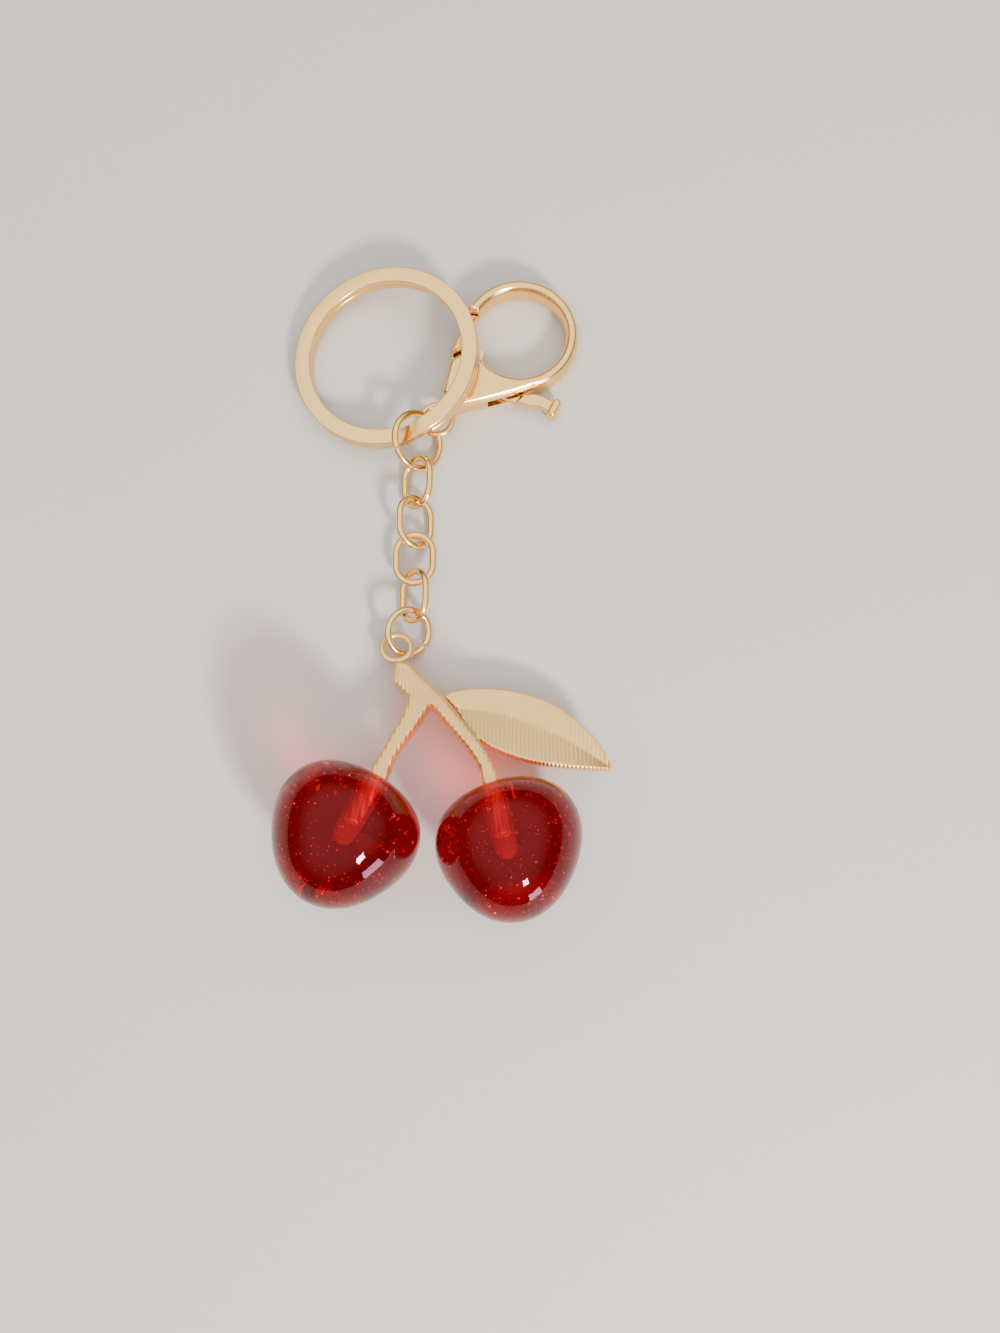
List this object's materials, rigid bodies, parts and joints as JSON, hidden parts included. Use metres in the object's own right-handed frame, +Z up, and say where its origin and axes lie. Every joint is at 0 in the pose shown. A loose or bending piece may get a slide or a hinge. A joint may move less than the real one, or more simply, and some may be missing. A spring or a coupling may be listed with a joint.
{
  "type": "cherry key charm",
  "caption": "Key charm: flat split ring and trigger clasp on a short chain, holding a ridged gold stalk and leaf casting with glossy red glitter-resin cherries.",
  "frame": {"origin": "centre of the footprint, on the surface the charm lies on", "axes": "+Y along the charm from the cherries to the split ring, +Z up off the surface, +X towards the leaf"},
  "size_m": [0.0494, 0.1026, 0.0212],
  "materials": {
    "gold_polished": "polished pale gold plating on zinc alloy and wire",
    "gold_satin": "satin pale gold plating over fine cast ridges",
    "spring_steel": "bright drawn spring wire",
    "red_resin": "clear deep red cast resin with sparse glitter flakes, glossy",
    "clear_adhesive": "cured clear adhesive"
  },
  "bodies": {
    "key_ring": {"key_ring": "gold_polished"},
    "top_ring": {"top_jump_ring": "gold_polished"},
    "clasp": {"clasp_body": "gold_polished", "clasp_pivot_pin": "gold_polished"},
    "lever": {"clasp_lever": "gold_polished", "clasp_spring": "spring_steel"},
    "link_1": {"chain_link_1": "gold_polished"},
    "link_2": {"chain_link_2": "gold_polished"},
    "link_3": {"chain_link_3": "gold_polished"},
    "link_4": {"chain_link_4": "gold_polished"},
    "charm_ring": {"charm_jump_ring": "gold_polished"},
    "charm": {"stalk_casting": "gold_satin", "cherry_left": "red_resin", "cherry_right": "red_resin", "glue_left": "clear_adhesive", "glue_right": "clear_adhesive"}
  },
  "joints": [
    {"name": "top_ring_swing", "type": "hinge", "parent": "key_ring", "child": "top_ring", "pos_m": [-0.0053, 0.02335, 0.00485], "axis": [-0.9265, -0.3322, -0.1767], "range_deg": [0, 35]},
    {"name": "clasp_swing", "type": "hinge", "parent": "top_ring", "child": "clasp", "pos_m": [-0.00252, 0.02599, 0.00219], "axis": [-0.5764, 0.5642, 0.5911], "range_deg": [0, 20]},
    {"name": "gate_swing", "type": "hinge", "parent": "clasp", "child": "lever", "pos_m": [0.00318, 0.03373, 0.0021], "axis": [0, 0, -1], "range_deg": [0, 18], "stiffness_Nm_per_rad": 0.002},
    {"name": "link_1_swing", "type": "hinge", "parent": "top_ring", "child": "link_1", "pos_m": [-0.00463, 0.01812, 0.00292], "axis": [-0.7524, -0.094, 0.652], "range_deg": [-40, 40]},
    {"name": "link_2_swing", "type": "hinge", "parent": "link_1", "child": "link_2", "pos_m": [-0.00468, 0.01213, 0.00259], "axis": [0.7193, 0, 0.6947], "range_deg": [-40, 40]},
    {"name": "link_3_swing", "type": "hinge", "parent": "link_2", "child": "link_3", "pos_m": [-0.0049, 0.00623, 0.00238], "axis": [-0.788, 0, 0.6157], "range_deg": [-40, 40]},
    {"name": "link_4_swing", "type": "hinge", "parent": "link_3", "child": "link_4", "pos_m": [-0.00498, 0.00004, 0.00273], "axis": [0.9951, 0, 0.0993], "range_deg": [-20, 30]},
    {"name": "charm_ring_swing", "type": "hinge", "parent": "link_4", "child": "charm_ring", "pos_m": [-0.0049, -0.00632, 0.00276], "axis": [-0.6626, 0, -0.749], "range_deg": [-40, 40]},
    {"name": "charm_swing", "type": "hinge", "parent": "charm_ring", "child": "charm", "pos_m": [-0.00744, -0.01118, 0.00279], "axis": [0.6942, -0.4456, -0.5653], "range_deg": [-8, 50]}
  ]
}
